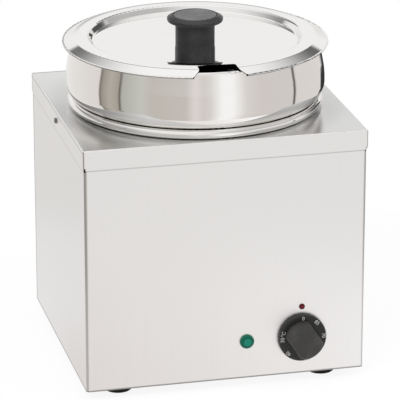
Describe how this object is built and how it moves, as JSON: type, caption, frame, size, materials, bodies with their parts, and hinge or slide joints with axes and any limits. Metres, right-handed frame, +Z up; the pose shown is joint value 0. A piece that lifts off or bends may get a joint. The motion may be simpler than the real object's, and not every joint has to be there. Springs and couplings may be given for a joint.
{
  "type": "soup kettle",
  "caption": "Square stainless table-top soup kettle: a heated water basin in a sheet casing, with a lift-out belly pot, a notched lid with a spool knob and a thermostat dial.",
  "frame": {"origin": "on the table, under the middle of the casing, with the feet standing at zero height", "axes": "+X to the right seen from the front, +Y to the back, +Z up"},
  "size_m": [0.2886, 0.3022, 0.3502],
  "materials": {
    "casing_steel": "satin rolled sheet",
    "cover_steel": "satin rolled sheet",
    "polished_steel": "mirror polished",
    "fastener_steel": "zinc plated",
    "heater_steel": "matt",
    "spreader_aluminium": "milled",
    "copper": "drawn",
    "brass": "turned",
    "foot_rubber": "matt",
    "knob_plastic": "satin moulded",
    "dial_plastic": "satin moulded",
    "gland_plastic": "moulded",
    "control_plastic": "moulded",
    "terminal_plastic": "moulded",
    "green_lens": "clear tinted",
    "red_lens": "clear tinted",
    "brown_insulation": "extruded",
    "blue_insulation": "extruded",
    "earth_insulation": "extruded"
  },
  "bodies": {
    "casing": {"casing_shell": "casing_steel", "rear_panel": "casing_steel", "base_plate": "casing_steel", "top_cover": "cover_steel", "water_basin": "polished_steel", "cover_screws": "fastener_steel", "base_screws": "fastener_steel", "rear_panel_screws": "fastener_steel", "foot_screws": "fastener_steel", "foot_nuts": "fastener_steel", "clamp_stud": "fastener_steel", "clamp_nut": "fastener_steel", "thermostat_screws": "fastener_steel", "cutout_studs": "fastener_steel", "cutout_nuts": "fastener_steel", "terminal_screws": "fastener_steel", "earth_nut": "fastener_steel", "pilot_nut": "fastener_steel", "heating_element": "heater_steel", "element_clamp": "heater_steel", "bulb_clip": "heater_steel", "heat_plate": "spreader_aluminium", "sensor_bulb": "copper", "capillary_tube": "copper", "earth_stud": "brass", "earth_lug": "brass", "foot_front_left": "foot_rubber", "foot_front_right": "foot_rubber", "foot_rear_left": "foot_rubber", "foot_rear_right": "foot_rubber", "gland_seal": "foot_rubber", "gland_body": "gland_plastic", "gland_dome": "gland_plastic", "gland_locknut": "gland_plastic", "thermostat_body": "control_plastic", "overheat_cutout": "control_plastic", "pilot_body": "control_plastic", "index_body": "control_plastic", "terminal_block": "terminal_plastic", "pilot_lens": "green_lens", "index_lens": "red_lens", "live_wire": "brown_insulation", "cutout_wire": "brown_insulation", "heater_wire": "brown_insulation", "neutral_wire": "blue_insulation", "lamp_wires": "blue_insulation", "earth_wire": "earth_insulation"},
    "dial": {"dial_knob": "dial_plastic", "dial_insert": "brass", "thermostat_shaft": "fastener_steel"},
    "pot": {"soup_pot": "polished_steel"},
    "lid": {"lid": "polished_steel", "lid_knob": "knob_plastic", "lid_knob_disc": "knob_plastic", "lid_knob_insert": "brass", "lid_washer": "fastener_steel", "lid_screw": "fastener_steel"}
  },
  "joints": [
    {"name": "dial_turn", "type": "hinge", "parent": "casing", "child": "dial", "pos_m": [0.0772, -0.1321, 0.0489], "axis": [0, 1, 0], "range_deg": [0, 315]},
    {"name": "pot_lift", "type": "slide", "parent": "casing", "child": "pot", "axis": [0, 0, 1], "range_m": [0, 0.2]},
    {"name": "lid_lift", "type": "slide", "parent": "pot", "child": "lid", "axis": [0, 0, 1], "range_m": [0, 0.12]}
  ]
}
